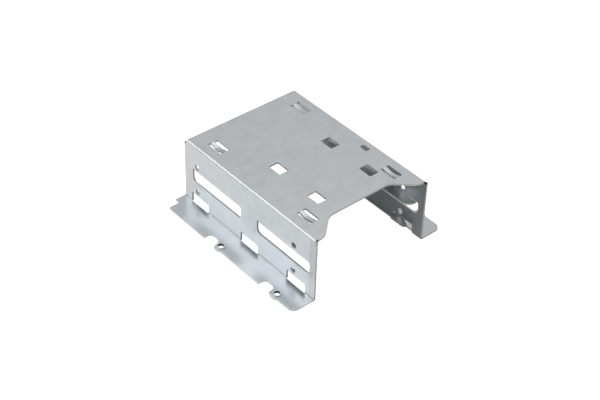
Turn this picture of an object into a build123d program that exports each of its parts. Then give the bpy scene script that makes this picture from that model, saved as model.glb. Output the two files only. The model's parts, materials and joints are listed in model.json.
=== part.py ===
from build123d import *

import os
from math import radians, tan

# Drive bay adapter bracket: one folded steel sheet that carries two small drives in a larger bay.
# The sheet is bent into a hat section: a top plate, two side walls and two outward feet. Shelves lanced
# out of the walls carry the drives from below, and the feet hold the tapped holes of the larger bay.
# X is across the bracket, Y runs from the front edge (-Y) to the rear, and Z is up from the feet.

# Sheet and bends
sheet = 1.0
bend_radius = 0.5
foot_bend_radius = 0.2

# Hat section
length = 103.5
height = 37.6
inner_width = 71.0
foot_width = 13.7

# Drive holes in the walls, two rows for two drives, a little behind the middle of the length
drive_hole_diameter = 3.4
drive_hole_spacing = 76.6
drive_hole_offset = 2.65
lower_hole_height = 8.9
drive_pitch = 16.0

# Shelves bent inwards out of the walls, under each drive
shelf_drop = 3.0
upper_shelf_reach = 5.4
lower_shelf_reach = 4.4
shelf_corner = 2.0
shelf_end_gap = 1.4
upper_shelf_end_flat = 0.2
neck_length = 4.0
neck_depth = 2.2

# Long slots left by the upper shelves, which fill the walls between these margins
slot_front = 4.2
slot_gap = 12.7
slot_rear = 7.0
slot_drop = 7.4
slot_corner = 2.3
slot_top_corner = 1.2

# Short windows left by the lower shelves, cut down across the foot bend
window_length = 14.0
window_front = 6.8
window_rear = 5.7
window_middle_offset = -1.75
window_into_foot = 0.5
window_corner = 0.8

# Feet: tapped holes with drawn collars, in ears beside rounded notches
tapped_hole_diameter = 3.0
tapped_across = 95.25
tapped_along = 44.45
tapped_front = 14.3
collar_diameter = 4.4
collar_height = 0.5
ear_radius = 5.0
ear_proud = 1.1
notch_depth = 4.7
notch_fronts = (18.0, 61.0)
notch_rears = (26.0, 69.8)
notch_slants = (0.5, 1.8)
notch_corner = 2.6
foot_front_corner = 3.8
rear_step_depth = 3.4
rear_step_width = 6.6
rear_step_corner = 0.8

# Top plate: ends stand back from the walls, and the front edge has a wide shallow bay
plate_front_inset = 1.0
plate_rear_inset = 1.7
bend_relief = 0.5
wall_tip_width = 0.7
wall_tip_drop = 0.2
bay_depth = 11.2
bay_slope = 42.0
left_lip_flat = 2.0
right_lip_flat = 0.2
lip_radius = 9.0
throat_radius = 7.0

# Rectangular windows in the plate
port_width = 5.8
port_length = 8.4
port_across = 34.2
port_along = 29.05
port_centre_x = 2.7
port_front = 25.25
port_corner = 0.5
small_port_width = 3.1
small_port_length = 5.0
small_port_x = 30.9
small_port_front = 40.1

# Bridges pressed down between two slits, near the plate's corners
bridge_across = 54.6
bridge_centre_x = 0.4
bridge_along = 69.5
bridge_offset = 0.2
bridge_length = 10.2
bridge_width = 2.5
bridge_slit = 1.6
bridge_drop = 0.95
bridge_flat = 2.4
bridge_bend = 5.0

# Worked out from the sizes above
outer_bend = bend_radius + sheet
outer_width = inner_width + 2 * sheet
wall_inside = inner_width / 2
wall_outside = outer_width / 2
foot_edge = wall_outside + foot_width
ear_edge = foot_edge + ear_proud
front = -length / 2
rear = length / 2
lower_shelf_top = lower_hole_height - shelf_drop
upper_shelf_top = lower_shelf_top + drive_pitch
upper_front_corner = upper_shelf_reach - bend_radius - upper_shelf_end_flat
slot_length = (length - slot_front - slot_gap - slot_rear) / 2
slot_fronts = (slot_front, slot_front + slot_length + slot_gap)
window_middle = (length - window_length) / 2 + window_middle_offset
window_fronts = (window_front, window_middle, length - window_rear - window_length)
tapped_rows = (front + tapped_front, front + tapped_front + tapped_along)
pick_margin = sheet / 10


with BuildPart() as bracket:
    # Hat section, drawn along its outer skin and thickened inwards
    with BuildSketch(Plane.XZ):
        with BuildLine():
            FilletPolyline(
                (-ear_edge, sheet),
                (-wall_outside, sheet),
                (-wall_outside, height),
                (wall_outside, height),
                (wall_outside, sheet),
                (ear_edge, sheet),
                radius=[foot_bend_radius, outer_bend, outer_bend, foot_bend_radius],
            )
            offset(amount=sheet, side=Side.RIGHT)
        make_face()
    extrude(amount=length / 2, both=True)

    # The plate and its two bends end short of the walls
    for inset, middle in (
        (plate_front_inset, front + plate_front_inset / 2),
        (plate_rear_inset, rear - plate_rear_inset / 2),
    ):
        with BuildSketch(Plane.XY.offset(height)):
            with Locations((0, middle)):
                Rectangle(outer_width, inset)
        extrude(amount=-(outer_bend + bend_relief), mode=Mode.SUBTRACT)

    # The walls' front tips stay straight, parted from the bends by a narrow slit
    with BuildSketch(Plane.XY.offset(height - wall_tip_drop)):
        for side in (-1, 1):
            with Locations((side * (wall_inside + sheet / 2), front + wall_tip_width / 2)):
                Rectangle(sheet, wall_tip_width)
    extrude(amount=-(outer_bend + bend_relief))

    # Bay in the front edge of the plate: two S-shaped shoulders and a straight middle
    lip_y = front + plate_front_inset
    throat_y = front + bay_depth
    lip_tangent = lip_radius * tan(radians(bay_slope / 2))
    left_lip = -(wall_inside - left_lip_flat - lip_tangent)
    right_lip = wall_inside - right_lip_flat - lip_tangent
    shoulder_run = (throat_y - lip_y) / tan(radians(bay_slope))
    with BuildSketch(Plane.XY.offset(height)):
        with BuildLine():
            edge = FilletPolyline(
                (-wall_inside, lip_y),
                (left_lip, lip_y),
                (left_lip + shoulder_run, throat_y),
                (right_lip - shoulder_run, throat_y),
                (right_lip, lip_y),
                (wall_inside, lip_y),
                radius=[lip_radius, throat_radius, throat_radius, lip_radius],
            )
            Polyline(edge @ 0, (-wall_inside, front), (wall_inside, front), edge @ 1)
        make_face()
    extrude(amount=-sheet, mode=Mode.SUBTRACT)

    # Rectangular windows in the plate
    with BuildSketch(Plane.XY.offset(height)):
        with Locations((port_centre_x, front + port_front + port_along / 2)):
            with GridLocations(port_across, port_along, 2, 2):
                RectangleRounded(port_width, port_length, port_corner)
        with Locations((small_port_x, front + small_port_front)):
            RectangleRounded(small_port_width, small_port_length, port_corner)
    extrude(amount=-sheet, mode=Mode.SUBTRACT)

    # Bridges: an opening for both slits, then the strip that dips between them
    with BuildSketch(Plane.XY.offset(height)):
        with Locations((bridge_centre_x, bridge_offset)):
            with GridLocations(bridge_across, bridge_along, 2, 2):
                Rectangle(bridge_width + 2 * bridge_slit, bridge_length)
    extrude(amount=-sheet, mode=Mode.SUBTRACT)
    bridge_half = bridge_length / 2
    flat_half = bridge_flat / 2
    for across in (bridge_centre_x - bridge_across / 2, bridge_centre_x + bridge_across / 2):
        for middle in (bridge_offset - bridge_along / 2, bridge_offset + bridge_along / 2):
            with BuildSketch(Plane.YZ.offset(across)):
                with BuildLine():
                    FilletPolyline(
                        (middle - bridge_half - sheet, height),
                        (middle - bridge_half, height),
                        (middle - flat_half, height - bridge_drop),
                        (middle + flat_half, height - bridge_drop),
                        (middle + bridge_half, height),
                        (middle + bridge_half + sheet, height),
                        radius=bridge_bend,
                    )
                    offset(amount=sheet, side=Side.RIGHT)
                make_face()
            extrude(amount=bridge_width / 2, both=True)

    # Long slots through both walls, lower in front of the shelf
    slot_top = upper_shelf_top + bend_radius
    slot_bottom = upper_shelf_top - slot_drop
    with BuildSketch(Plane.YZ):
        for slot in slot_fronts:
            slot_start = front + slot
            with BuildLine():
                FilletPolyline(
                    (slot_start, slot_bottom),
                    (slot_start, upper_shelf_top),
                    (slot_start + shelf_end_gap, upper_shelf_top),
                    (slot_start + shelf_end_gap, slot_top),
                    (slot_start + slot_length, slot_top),
                    (slot_start + slot_length, slot_bottom),
                    radius=[slot_corner, slot_top_corner, 0, 0, 0, slot_corner],
                    close=True,
                )
            make_face()
    extrude(amount=wall_outside, both=True, mode=Mode.SUBTRACT)

    # Short windows, cut through the wall and just past the foot bend, and lower where the shelf is necked
    window_top = lower_shelf_top + bend_radius
    for side in (-1, 1):
        with BuildSketch(Plane.YZ.offset(side * wall_inside)):
            for window in window_fronts:
                window_start = front + window
                neck_end = window_start + shelf_end_gap + neck_length
                with BuildLine():
                    outline = FilletPolyline(
                        (window_start, 0),
                        (window_start, lower_shelf_top),
                        (neck_end, lower_shelf_top),
                        (neck_end, window_top),
                        (window_start + window_length, window_top),
                        (window_start + window_length, 0),
                        radius=[window_corner, 0, 0, window_corner],
                    )
                    Line(outline @ 1, outline @ 0)
                make_face()
        extrude(amount=side * (sheet + window_into_foot), mode=Mode.SUBTRACT)

    # Shelves turned inwards at the top of each opening, with rounded inner corners, the upper front ones wide
    shelves = []
    for opening, opening_length, top, reach, front_corner in (
        (slot_fronts, slot_length, upper_shelf_top, upper_shelf_reach, upper_front_corner),
        (window_fronts, window_length, lower_shelf_top, lower_shelf_reach, shelf_corner),
    ):
        for opening_front in opening:
            shelf_front = front + opening_front + shelf_end_gap
            shelf_rear = front + opening_front + opening_length - shelf_end_gap
            shelves.append((shelf_front, shelf_rear, top, reach, front_corner))
    for side in (-1, 1):
        for shelf_front, shelf_rear, top, reach, front_corner in shelves:
            with BuildSketch(Plane.XZ.offset(-shelf_front)):
                with BuildLine():
                    turn = JernArc((side * wall_inside, top + bend_radius), (0, -1), bend_radius, -side * 90)
                    Line(turn @ 1, (side * (wall_inside - reach), top))
                    offset(amount=sheet, side=Side.LEFT if side > 0 else Side.RIGHT)
                make_face()
            extrude(amount=-(shelf_rear - shelf_front))
    for side in (-1, 1):
        for shelf_front, shelf_rear, top, reach, front_corner in shelves:
            tip = side * (wall_inside - reach)
            for end, corner in ((shelf_front, front_corner), (shelf_rear, shelf_corner)):
                end_edges = bracket.edges().filter_by(Axis.Z)
                end_edges = end_edges.filter_by_position(Axis.Y, end - pick_margin, end + pick_margin)
                end_edges = end_edges.filter_by_position(Axis.X, tip - pick_margin, tip + pick_margin)
                fillet(end_edges.filter_by_position(Axis.Z, top - sheet, top), radius=corner)

    # The lower shelves are necked at the front, so that a drive's lower edge can slip in over them
    with BuildSketch(Plane.XY.offset(window_top)):
        for window in window_fronts:
            neck_front = front + window + shelf_end_gap
            with BuildLine():
                Polyline(
                    (wall_inside, neck_front),
                    (wall_inside - neck_depth, neck_front),
                    (wall_inside - bend_radius, neck_front + neck_length),
                    (wall_inside, neck_front + neck_length),
                    close=True,
                )
            make_face()
        mirror(about=Plane.YZ)
    extrude(amount=-(outer_bend + sheet), mode=Mode.SUBTRACT)
    with BuildSketch(Plane.XY.offset(lower_shelf_top)):
        for window in window_fronts:
            with Locations((wall_inside + sheet / 2, front + window + shelf_end_gap + neck_length / 2)):
                Rectangle(sheet, neck_length)
        mirror(about=Plane.YZ)
    extrude(amount=-(bend_radius + sheet), mode=Mode.SUBTRACT)

    # Drive holes through both walls
    with BuildSketch(Plane.YZ):
        with Locations((drive_hole_offset, lower_hole_height + drive_pitch / 2)):
            with GridLocations(drive_hole_spacing, drive_pitch, 2, 2):
                Circle(drive_hole_diameter / 2)
    extrude(amount=wall_outside, both=True, mode=Mode.SUBTRACT)

    # Outline of the feet: ears round the tapped holes, a notch behind each, a step at the rear corner
    notch_floor = foot_edge - notch_depth
    with BuildSketch():
        with Locations(((foot_edge + ear_edge) / 2, 0)):
            Rectangle(ear_proud, length)
        for row in tapped_rows:
            with Locations((ear_edge - ear_radius, row)):
                Circle(ear_radius, mode=Mode.SUBTRACT)
        for notch_front, notch_rear, slant in zip(notch_fronts, notch_rears, notch_slants):
            with BuildLine():
                sides = FilletPolyline(
                    (ear_edge, front + notch_front),
                    (notch_floor, front + notch_front + slant),
                    (notch_floor, front + notch_rear),
                    (ear_edge, front + notch_rear),
                    radius=notch_corner,
                )
                Line(sides @ 1, sides @ 0)
            make_face()
        mirror(about=Plane.YZ)
    extrude(amount=sheet, mode=Mode.SUBTRACT)
    step_edge = foot_edge - rear_step_width
    with BuildSketch():
        with Locations(((step_edge + ear_edge) / 2, rear - rear_step_depth / 2)):
            Rectangle(ear_edge - step_edge, rear_step_depth)
        mirror(about=Plane.YZ)
    extrude(amount=sheet, mode=Mode.SUBTRACT)
    foot_edges = bracket.edges().filter_by(Axis.Z).filter_by_position(Axis.Z, 0, sheet)
    front_edges = foot_edges.group_by(Axis.Y)[0].sort_by(Axis.X)
    fillet([front_edges[0], front_edges[-1]], radius=foot_front_corner)
    for corner_x, corner_y in ((step_edge, rear), (foot_edge, rear - rear_step_depth)):
        corner_edges = bracket.edges().filter_by(Axis.Z).filter_by_position(Axis.Z, 0, sheet)
        corner_edges = corner_edges.filter_by_position(Axis.Y, corner_y - pick_margin, corner_y + pick_margin)
        right_edge = corner_edges.filter_by_position(Axis.X, corner_x - pick_margin, corner_x + pick_margin)
        left_edge = corner_edges.filter_by_position(Axis.X, -corner_x - pick_margin, -corner_x + pick_margin)
        fillet(left_edge + right_edge, radius=rear_step_corner)

    # Tapped holes with their drawn collars
    tapped_places = [(side * tapped_across / 2, row) for side in (-1, 1) for row in tapped_rows]
    with BuildSketch(Plane.XY.offset(sheet)):
        with Locations(tapped_places):
            Circle(collar_diameter / 2)
    extrude(amount=collar_height)
    with BuildSketch():
        with Locations(tapped_places):
            Circle(tapped_hole_diameter / 2)
    extrude(amount=sheet + collar_height, mode=Mode.SUBTRACT)

bracket.part.label = "bracket"
os.makedirs("parts", exist_ok=True)
export_step(bracket.part, "parts/bracket.step")
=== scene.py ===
import json
import math

import bpy
from mathutils import Matrix, Vector


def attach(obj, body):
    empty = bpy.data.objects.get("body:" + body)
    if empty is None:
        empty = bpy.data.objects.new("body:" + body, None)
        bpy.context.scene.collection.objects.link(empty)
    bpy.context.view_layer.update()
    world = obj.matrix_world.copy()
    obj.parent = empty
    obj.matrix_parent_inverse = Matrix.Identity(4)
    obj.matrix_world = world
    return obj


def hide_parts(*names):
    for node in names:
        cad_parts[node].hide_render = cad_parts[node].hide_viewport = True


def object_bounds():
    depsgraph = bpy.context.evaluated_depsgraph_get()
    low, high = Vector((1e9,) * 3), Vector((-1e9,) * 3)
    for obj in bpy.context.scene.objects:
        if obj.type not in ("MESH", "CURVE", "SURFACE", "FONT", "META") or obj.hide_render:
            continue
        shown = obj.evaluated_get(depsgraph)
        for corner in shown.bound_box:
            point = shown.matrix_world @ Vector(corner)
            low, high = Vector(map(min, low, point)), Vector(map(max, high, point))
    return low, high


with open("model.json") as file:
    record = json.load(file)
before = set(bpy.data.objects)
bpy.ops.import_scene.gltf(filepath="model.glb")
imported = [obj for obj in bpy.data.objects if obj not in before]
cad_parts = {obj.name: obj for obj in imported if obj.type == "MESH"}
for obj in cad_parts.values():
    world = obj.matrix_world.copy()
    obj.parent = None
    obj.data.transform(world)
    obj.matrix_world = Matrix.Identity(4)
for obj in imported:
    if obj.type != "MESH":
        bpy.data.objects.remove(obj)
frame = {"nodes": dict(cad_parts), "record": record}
cad_low, cad_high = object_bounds()

# Folded sheet
# One blank of cold-rolled steel, zinc plated, pressed and folded into a hat section: a plate, two walls
# and two feet. The press leaves a slight roll-over along every sheared edge.
MM = 0.001
sheet_thickness = 1.0 * MM
plate_top = cad_high[2]
roll_over = 0.10 * MM
roll_over_steps = 2
merge_distance = 0.0005 * MM
flat_angle = math.radians(0.2)
fold_angle = math.radians(40)
smooth_angle = math.radians(45)
sheared_angle = math.radians(50)
nearly_level = 0.99

bpy.ops.object.select_all(action="DESELECT")
sheet_node = frame["nodes"]["bracket"]
folded_sheet = sheet_node.copy()
folded_sheet.data = sheet_node.data.copy()
folded_sheet.name = "folded_sheet"
bpy.context.scene.collection.objects.link(folded_sheet)
folded_sheet.select_set(True)
bpy.context.view_layer.objects.active = folded_sheet
bpy.ops.object.mode_set(mode="EDIT")
bpy.ops.mesh.select_mode(type="FACE")
bpy.ops.mesh.select_all(action="SELECT")
bpy.ops.mesh.remove_doubles(threshold=merge_distance)
bpy.ops.mesh.dissolve_limited(angle_limit=flat_angle)
bpy.ops.mesh.select_all(action="DESELECT")
bpy.ops.object.mode_set(mode="OBJECT")

# The rolled skin is all that is reached from the two sides of the plate without crossing a sharp edge: it
# runs round the folds. All other faces were sheared.
for face in folded_sheet.data.polygons:
    in_plate = face.center.z > plate_top - 1.5 * sheet_thickness
    face.select = in_plate and abs(face.normal.z) > nearly_level
bpy.ops.object.mode_set(mode="EDIT")
bpy.ops.mesh.faces_select_linked_flat(sharpness=fold_angle)
bpy.ops.object.mode_set(mode="OBJECT")
sheared_mark = folded_sheet.data.attributes.new("sheared", "FLOAT", "FACE")
for face in folded_sheet.data.polygons:
    sheared_mark.data[face.index].value = 0.0 if face.select else 1.0

edge_bevel = folded_sheet.modifiers.new("roll_over", "BEVEL")
edge_bevel.width = roll_over
edge_bevel.segments = roll_over_steps
edge_bevel.limit_method = "ANGLE"
edge_bevel.angle_limit = sheared_angle
bpy.ops.object.modifier_apply(modifier=edge_bevel.name)

# The narrow strips that the roll-over adds are where hands and other parts rub the plating bright, and
# their paler colour is also a painted highlight along the edges.
rubbed_and_highlight_mark = folded_sheet.data.attributes.new("rubbed_and_highlight", "FLOAT", "FACE")
for face in folded_sheet.data.polygons:
    corners = [folded_sheet.data.vertices[i].co for i in face.vertices]
    longest = max((here - there).length for here, there in zip(corners, corners[1:] + corners[:1]))
    rubbed_and_highlight_mark.data[face.index].value = 1.0 if face.area < roll_over * longest else 0.0

# Threads of the feet
# The drawn collars in the feet are tapped for the screws of the larger bay. The tap goes in after plating,
# so it leaves bare steel, coloured a dark grey that also paints the shade inside the holes: each
# thread is cut out of the sheet by a cutter of the screw's shape.
thread_pitch = 0.8 * MM
thread_depth = 0.22 * MM
thread_clearance = 0.01 * MM
thread_sides = 48
thread_rings = 40
tap_low = -0.6 * MM
tap_high = 2.2 * MM

foot_holes = next(mount for mount in frame["record"]["mounts"] if mount["name"] == "foot_holes")
core_radius = foot_holes["dims"]["hole_r_mm"] * MM + thread_clearance
holes_across = foot_holes["dims"]["spacing_x_mm"] * MM
holes_along = foot_holes["dims"]["spacing_y_mm"] * MM
holes_centre = Vector(foot_holes["pos_m"])

bpy.ops.object.select_all(action="DESELECT")
bpy.ops.mesh.primitive_cylinder_add(
    vertices=thread_sides,
    radius=core_radius,
    depth=tap_high - tap_low,
    location=(0, 0, (tap_high + tap_low) / 2),
)
tap = bpy.context.active_object
tap.name = "tap"
bpy.ops.object.transform_apply(location=True, rotation=False, scale=False)
bpy.ops.object.mode_set(mode="EDIT")
bpy.ops.mesh.select_mode(type="EDGE")
bpy.ops.mesh.select_all(action="DESELECT")
bpy.ops.object.mode_set(mode="OBJECT")
for edge in tap.data.edges:
    one_end, other_end = (tap.data.vertices[i].co for i in edge.vertices)
    edge.select = abs(one_end.z - other_end.z) > (tap_high - tap_low) / 2
bpy.ops.object.mode_set(mode="EDIT")
bpy.ops.mesh.subdivide_edgering(number_cuts=thread_rings, interpolation="LINEAR", smoothness=0)
bpy.ops.object.mode_set(mode="OBJECT")
for corner in tap.data.vertices:
    turns = corner.co.z / thread_pitch - math.atan2(corner.co.y, corner.co.x) / math.tau
    groove = 1 - abs(2 * (turns % 1.0) - 1)
    growth = 1 + groove * thread_depth / core_radius
    corner.co.x *= growth
    corner.co.y *= growth
tapped_mark = tap.data.attributes.new("tapped", "FLOAT", "FACE")
for mark in tapped_mark.data:
    mark.value = 1.0

bpy.ops.object.select_all(action="DESELECT")
bpy.context.view_layer.objects.active = folded_sheet
for side_x in (-0.5, 0.5):
    for side_y in (-0.5, 0.5):
        tap.location = holes_centre + Vector((side_x * holes_across, side_y * holes_along, 0))
        bpy.context.view_layer.update()
        tapping = folded_sheet.modifiers.new("tapping", "BOOLEAN")
        tapping.operation = "DIFFERENCE"
        tapping.solver = "EXACT"
        tapping.object = tap
        bpy.ops.object.modifier_apply(modifier=tapping.name)
bpy.data.objects.remove(tap)

folded_sheet.select_set(True)
bpy.ops.object.shade_smooth_by_angle(angle=smooth_angle)
flat_faces = folded_sheet.modifiers.new("flat_faces", "WEIGHTED_NORMAL")
flat_faces.keep_sharp = True
bpy.ops.object.modifier_apply(modifier=flat_faces.name)


def linear(hex_colour):
    """An sRGB hex colour as the linear red, green, blue and alpha that a shader takes."""
    channels = [int(hex_colour[i:i + 2], 16) / 255 for i in (1, 3, 5)]
    return [c / 12.92 if c <= 0.04045 else ((c + 0.055) / 1.055) ** 2.4 for c in channels] + [1.0]


def add_node(material, kind, settings=None, inputs=None, links=None):
    """A shader node with its settings and input values, and with links from other nodes' outputs."""
    node = material.node_tree.nodes.new(kind)
    for name, value in (settings or {}).items():
        setattr(node, name, value)
    for name, value in (inputs or {}).items():
        node.inputs[name].default_value = value
    for name, (source, output) in (links or {}).items():
        material.node_tree.links.new(source.outputs[output], node.inputs[name])
    return node


# Zinc plate on rolled steel is a satin grey metal with a faint cool cast. It mirrors softly, with small
# cloudy changes of grey where the plating took a little more or less. The rolls leave a grain that is finer
# than the render can show, so it is drawn coarser.
cloud_size = 6.0 * MM
cloud_low = 0.30
cloud_high = 0.70
darker_skin = "#C5CACD"
paler_skin = "#CED2D5"
glossier_skin = 0.285
duller_skin = 0.345
grain_size = 0.5 * MM
grain_height = 0.002 * MM
grain_strength = 0.5

zinc = bpy.data.materials.new("zinc_plated_steel")
zinc.use_nodes = True
zinc_shader = zinc.node_tree.nodes["Principled BSDF"]
place = add_node(zinc, "ShaderNodeTexCoord")
clouds = add_node(
    zinc, "ShaderNodeTexNoise",
    inputs={"Scale": 1 / cloud_size, "Detail": 3.0, "Roughness": 0.5},
    links={"Vector": (place, "Object")},
)
skin_grey = add_node(zinc, "ShaderNodeValToRGB", links={"Fac": (clouds, "Fac")})
skin_grey.color_ramp.elements[0].position = cloud_low
skin_grey.color_ramp.elements[0].color = linear(darker_skin)
skin_grey.color_ramp.elements[1].position = cloud_high
skin_grey.color_ramp.elements[1].color = linear(paler_skin)
skin_gloss = add_node(
    zinc, "ShaderNodeMapRange",
    inputs={
        "From Min": cloud_low, "From Max": cloud_high,
        "To Min": glossier_skin, "To Max": duller_skin,
    },
    links={"Value": (clouds, "Fac")},
)
grain = add_node(
    zinc, "ShaderNodeTexNoise",
    inputs={"Scale": 1 / grain_size, "Detail": 1.0},
    links={"Vector": (place, "Object")},
)
grain_bump = add_node(
    zinc, "ShaderNodeBump",
    inputs={"Strength": grain_strength, "Distance": grain_height},
    links={"Height": (grain, "Fac")},
)

# The sheared edges are paler and duller than the rolled skin, with a bright rubbed rim that is partly
# burnished plating and partly a painted highlight, and the tapped threads are a dark grey that is partly
# bare steel and partly painted shade inside the holes.
sheared_colour = "#DADCDD"
# Paler rim colour: rubbed plating, and a painted highlight along the edges.
rubbed_and_highlight_colour = "#E8E9EA"
# Dark grey of the threads: bare steel, and painted shade inside the holes.
thread_steel_and_shade_colour = "#6B6E70"
sheared_roughness = 0.40
skin_metallic = 0.85
sheared_metallic = 0.65

sheared = add_node(zinc, "ShaderNodeAttribute", settings={"attribute_name": "sheared"})
rubbed_and_highlight = add_node(zinc, "ShaderNodeAttribute", settings={"attribute_name": "rubbed_and_highlight"})
tapped = add_node(zinc, "ShaderNodeAttribute", settings={"attribute_name": "tapped"})
sheared_grey = add_node(
    zinc, "ShaderNodeMixRGB",
    inputs={"Color2": linear(sheared_colour)},
    links={"Fac": (sheared, "Fac"), "Color1": (skin_grey, "Color")},
)
# Painted highlight, with rubbed plating, on the narrow roll-over strips.
rubbed_and_highlight_grey = add_node(
    zinc, "ShaderNodeMixRGB",
    inputs={"Color2": linear(rubbed_and_highlight_colour)},
    links={"Fac": (rubbed_and_highlight, "Fac"), "Color1": (sheared_grey, "Color")},
)
# The threads' dark grey, partly painted shade inside the holes.
thread_and_hole_shade_grey = add_node(
    zinc, "ShaderNodeMixRGB",
    inputs={"Color2": linear(thread_steel_and_shade_colour)},
    links={"Fac": (tapped, "Fac"), "Color1": (rubbed_and_highlight_grey, "Color")},
)
sheared_gloss = add_node(
    zinc, "ShaderNodeMapRange",
    inputs={"To Max": sheared_roughness},
    links={"Value": (sheared, "Fac"), "To Min": (skin_gloss, "Result")},
)
sheared_metal = add_node(
    zinc, "ShaderNodeMapRange",
    inputs={"To Min": skin_metallic, "To Max": sheared_metallic},
    links={"Value": (sheared, "Fac")},
)

# Along the folds of the plate the stretched plating is duller, which spreads the light along them. The
# corner where a wall meets its foot is darkened in a thin line of painted shade, and so are the four
# ends of the folds, with small spots of painted shade.
wall_face = 36.5 * MM
fold_corner = (wall_face, 0, plate_top)
fold_near = 0.6 * MM
fold_far = 1.4 * MM
fold_roughness = 0.42
# Painted shade: a thin dark line in the crease where each wall meets its foot.
foot_corner = (wall_face, 0, sheet_thickness)
foot_near = 0.3 * MM
foot_far = 0.8 * MM
foot_painted_shade_darkest = 0.72
# Painted shade: dark spots at the four ends of the plate's folds.
front_fold_end = (35.2 * MM, -51.0 * MM, 36.9 * MM)
rear_fold_end = (36.2 * MM, 51.2 * MM, 36.3 * MM)
end_near = 0.8 * MM
end_far = 1.3 * MM
end_painted_shade_darkest = 0.15

axes = add_node(zinc, "ShaderNodeSeparateXYZ", links={"Vector": (place, "Object")})
from_middle = add_node(
    zinc, "ShaderNodeMath",
    settings={"operation": "ABSOLUTE"},
    links={0: (axes, "X")},
)
either_side = add_node(
    zinc, "ShaderNodeCombineXYZ",
    links={"X": (from_middle, "Value"), "Y": (axes, "Y"), "Z": (axes, "Z")},
)
cross_section = add_node(
    zinc, "ShaderNodeVectorMath",
    settings={"operation": "MULTIPLY"},
    inputs={1: (1, 0, 1)},
    links={0: (either_side, "Vector")},
)
from_fold = add_node(
    zinc, "ShaderNodeVectorMath",
    settings={"operation": "DISTANCE"},
    inputs={1: fold_corner},
    links={0: (cross_section, "Vector")},
)
from_foot = add_node(
    zinc, "ShaderNodeVectorMath",
    settings={"operation": "DISTANCE"},
    inputs={1: foot_corner},
    links={0: (cross_section, "Vector")},
)
from_front_end = add_node(
    zinc, "ShaderNodeVectorMath",
    settings={"operation": "DISTANCE"},
    inputs={1: front_fold_end},
    links={0: (either_side, "Vector")},
)
from_rear_end = add_node(
    zinc, "ShaderNodeVectorMath",
    settings={"operation": "DISTANCE"},
    inputs={1: rear_fold_end},
    links={0: (either_side, "Vector")},
)
from_end = add_node(
    zinc, "ShaderNodeMath",
    settings={"operation": "MINIMUM"},
    links={0: (from_front_end, "Value"), 1: (from_rear_end, "Value")},
)
fold_gloss = add_node(
    zinc, "ShaderNodeMapRange",
    inputs={"From Min": fold_near, "From Max": fold_far, "To Min": fold_roughness},
    links={"Value": (from_fold, "Value"), "To Max": (sheared_gloss, "Result")},
)
# Painted shade along the crease between each wall and its foot.
foot_painted_shade = add_node(
    zinc, "ShaderNodeMapRange",
    inputs={"From Min": foot_near, "From Max": foot_far, "To Min": foot_painted_shade_darkest, "To Max": 1.0},
    links={"Value": (from_foot, "Value")},
)
# Painted shade at the ends of the folds.
fold_end_painted_shade = add_node(
    zinc, "ShaderNodeMapRange",
    inputs={"From Min": end_near, "From Max": end_far, "To Min": end_painted_shade_darkest, "To Max": 1.0},
    links={"Value": (from_end, "Value")},
)

# A strip along the front of each wall is a little darker than the rest, with a darker line behind it.
strip_end = -47.9 * MM
strip_fade = 0.3 * MM
strip_darkness = 0.88
line_half_width = 0.3 * MM
line_darkness = 0.82
wall_tolerance = 0.05 * MM

on_wall = add_node(
    zinc, "ShaderNodeMath",
    settings={"operation": "COMPARE"},
    inputs={1: wall_face, 2: wall_tolerance},
    links={0: (from_middle, "Value")},
)
on_line = add_node(
    zinc, "ShaderNodeMath",
    settings={"operation": "COMPARE"},
    inputs={1: strip_end, 2: line_half_width},
    links={0: (axes, "Y")},
)
strip_grey = add_node(
    zinc, "ShaderNodeMapRange",
    inputs={
        "From Min": strip_end, "From Max": strip_end + strip_fade,
        "To Min": strip_darkness, "To Max": 1.0,
    },
    links={"Value": (axes, "Y")},
)
line_grey = add_node(
    zinc, "ShaderNodeMapRange",
    inputs={"To Max": line_darkness},
    links={"Value": (on_line, "Value"), "To Min": (strip_grey, "Result")},
)
strip_shade = add_node(
    zinc, "ShaderNodeMapRange",
    inputs={"To Min": 1.0},
    links={"Value": (on_wall, "Value"), "To Max": (line_grey, "Result")},
)
# The painted shades of the foot creases and the fold ends, and the darker front strip, darken the base
# colour here.
corner_painted_shade = add_node(
    zinc, "ShaderNodeMath",
    settings={"operation": "MULTIPLY"},
    links={0: (foot_painted_shade, "Result"), 1: (fold_end_painted_shade, "Result")},
)
painted_shade_and_strip = add_node(
    zinc, "ShaderNodeMath",
    settings={"operation": "MULTIPLY"},
    links={0: (corner_painted_shade, "Value"), 1: (strip_shade, "Result")},
)
grey_with_painted_shade = add_node(
    zinc, "ShaderNodeMixRGB",
    settings={"blend_type": "MULTIPLY"},
    inputs={"Fac": 1.0},
    links={"Color1": (thread_and_hole_shade_grey, "Color"), "Color2": (painted_shade_and_strip, "Value")},
)
zinc.node_tree.links.new(grey_with_painted_shade.outputs["Color"], zinc_shader.inputs["Base Color"])
zinc.node_tree.links.new(fold_gloss.outputs["Result"], zinc_shader.inputs["Roughness"])
zinc.node_tree.links.new(sheared_metal.outputs["Result"], zinc_shader.inputs["Metallic"])
zinc.node_tree.links.new(grain_bump.outputs["Normal"], zinc_shader.inputs["Normal"])
folded_sheet.data.materials.clear()
folded_sheet.data.materials.append(zinc)

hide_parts("bracket")
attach(folded_sheet, "root")

# Floor
# A white studio sweep, which is not part of the object. A matt sheet takes the object's shade, and its
# darker grey is painted shade for the floor under and around the object. A paler sheet on the left glows a
# little as painted light and is what the left wall mirrors, and a glowing sheet on top is seen by the
# camera only.
floor_size = 20.0
floor_gap = 0.2 * MM
# The darker grey is painted shade for the floor in the object's shadow; the left sheet's glow is painted
# light.
painted_shade_grey = "#D8D8D8"
paper_white = "#F4F4F4"
white_glow = 0.95
side_glow = 0.20
side_start = -37.0 * MM
side_end = -600.0 * MM
paper_roughness = 0.9


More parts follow.
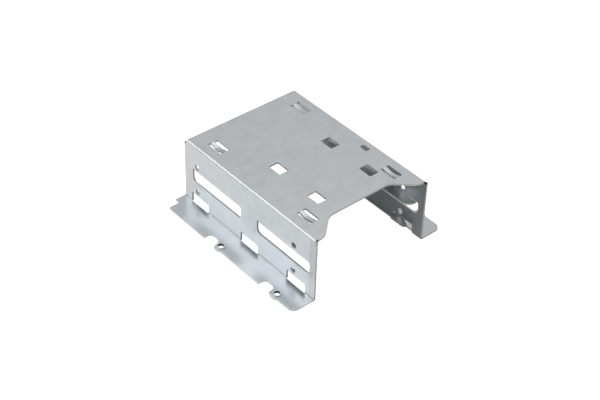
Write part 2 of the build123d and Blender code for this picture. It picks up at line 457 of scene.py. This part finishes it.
def studio_sheet(name, height, colour, glow):
    """A large matt sheet that lies at the given height."""
    bpy.ops.object.select_all(action="DESELECT")
    bpy.ops.mesh.primitive_plane_add(size=floor_size, location=(0, 0, 0))
    flat_sheet = bpy.context.active_object
    flat_sheet.name = name
    for corner in flat_sheet.data.vertices:
        corner.co.z = height
    paper = bpy.data.materials.new(name + "_paper")
    paper.use_nodes = True
    shader = paper.node_tree.nodes["Principled BSDF"]
    shader.inputs["Base Color"].default_value = linear(colour)
    shader.inputs["Roughness"].default_value = paper_roughness
    shader.inputs["Specular IOR Level"].default_value = 0.0
    shader.inputs["Emission Color"].default_value = linear("#FFFFFF")
    shader.inputs["Emission Strength"].default_value = glow
    flat_sheet.data.materials.append(paper)
    return flat_sheet


# Painted shade: the matt floor is a darker grey than the paper.
studio_sheet("matt_floor", -floor_gap, painted_shade_grey, 0.0)
# Painted light: this sheet glows so that the left wall mirrors a bright floor.
left_glowing_floor = studio_sheet("left_glowing_floor", -floor_gap / 2, paper_white, side_glow)
for corner in left_glowing_floor.data.vertices:
    corner.co.x = side_end if corner.co.x < 0 else side_start
    corner.co.y = math.copysign(side_end, corner.co.y)
glowing_floor = studio_sheet("glowing_floor", 0.0, paper_white, white_glow)
glowing_floor.visible_diffuse = False
glowing_floor.visible_glossy = False
glowing_floor.visible_transmission = False
glowing_floor.visible_shadow = False

# Light
# Soft panels in a dark room: a narrow strong one behind on the left in front of a wide weak one, a low one
# on the left for the foot, a pale tall card behind on the right that the plate mirrors, and one overhead.
room = bpy.data.worlds.new("dark_room")
bpy.context.scene.world = room
room.use_nodes = True
room.node_tree.nodes["Background"].inputs["Color"].default_value = linear("#000000")


def soft_panel(name, position, width, height, energy):
    """A rectangular light that faces the object, with its place and sizes in metres and energy in watts."""
    bpy.ops.object.light_add(type="AREA", location=position)
    panel = bpy.context.active_object
    panel.name = name
    panel.data.shape = "RECTANGLE"
    panel.data.size = width
    panel.data.size_y = height
    panel.data.energy = energy
    panel.rotation_euler = (-Vector(position)).to_track_quat("-Z", "Y").to_euler()


soft_panel("left_panel", (-0.48, 0.54, 0.69), 0.7, 0.3, 2.05)
soft_panel("left_wide_panel", (-0.57, 0.57, 0.65), 1.2, 1.5, 3.6)
soft_panel("left_low_panel", (-0.96, 0.0, 0.29), 0.75, 0.75, 1.7)
soft_panel("rear_card", (0.56, 0.56, 0.61), 0.75, 1.1, 1.75)
soft_panel("overhead_panel", (0.07, -0.20, 0.98), 1.5, 1.5, 7.9)

# Camera
# Above the front left, turned a little, at the distance and lens that fit the photograph's frame of 600
# by 400 pixels.
camera_azimuth = math.radians(-41.58)
camera_elevation = math.radians(39.35)
camera_roll = math.radians(1.99)
camera_aim = Vector((-0.6, 1.35, 10.9)) * MM
camera_distance = 680.2 * MM
nearest_seen = 10.0 * MM
focal_pixels = 1319.7
frame_width_pixels = 600
sensor_width = 36.0

back = Vector((
    math.sin(camera_azimuth) * math.cos(camera_elevation),
    -math.cos(camera_azimuth) * math.cos(camera_elevation),
    math.sin(camera_elevation),
))
level_right = Vector((math.cos(camera_azimuth), math.sin(camera_azimuth), 0))
level_up = back.cross(level_right)
right = level_right * math.cos(camera_roll) + level_up * math.sin(camera_roll)
up = level_up * math.cos(camera_roll) - level_right * math.sin(camera_roll)
bpy.ops.object.camera_add(location=camera_aim + back * camera_distance)
camera = bpy.context.active_object
camera.rotation_euler = Matrix((right, up, back)).transposed().to_euler()
camera.data.sensor_fit = "HORIZONTAL"
camera.data.sensor_width = sensor_width
camera.data.lens = focal_pixels * sensor_width / frame_width_pixels
camera.data.clip_start = nearest_seen
bpy.context.scene.camera = camera

bpy.context.scene.view_settings.view_transform = "Standard"
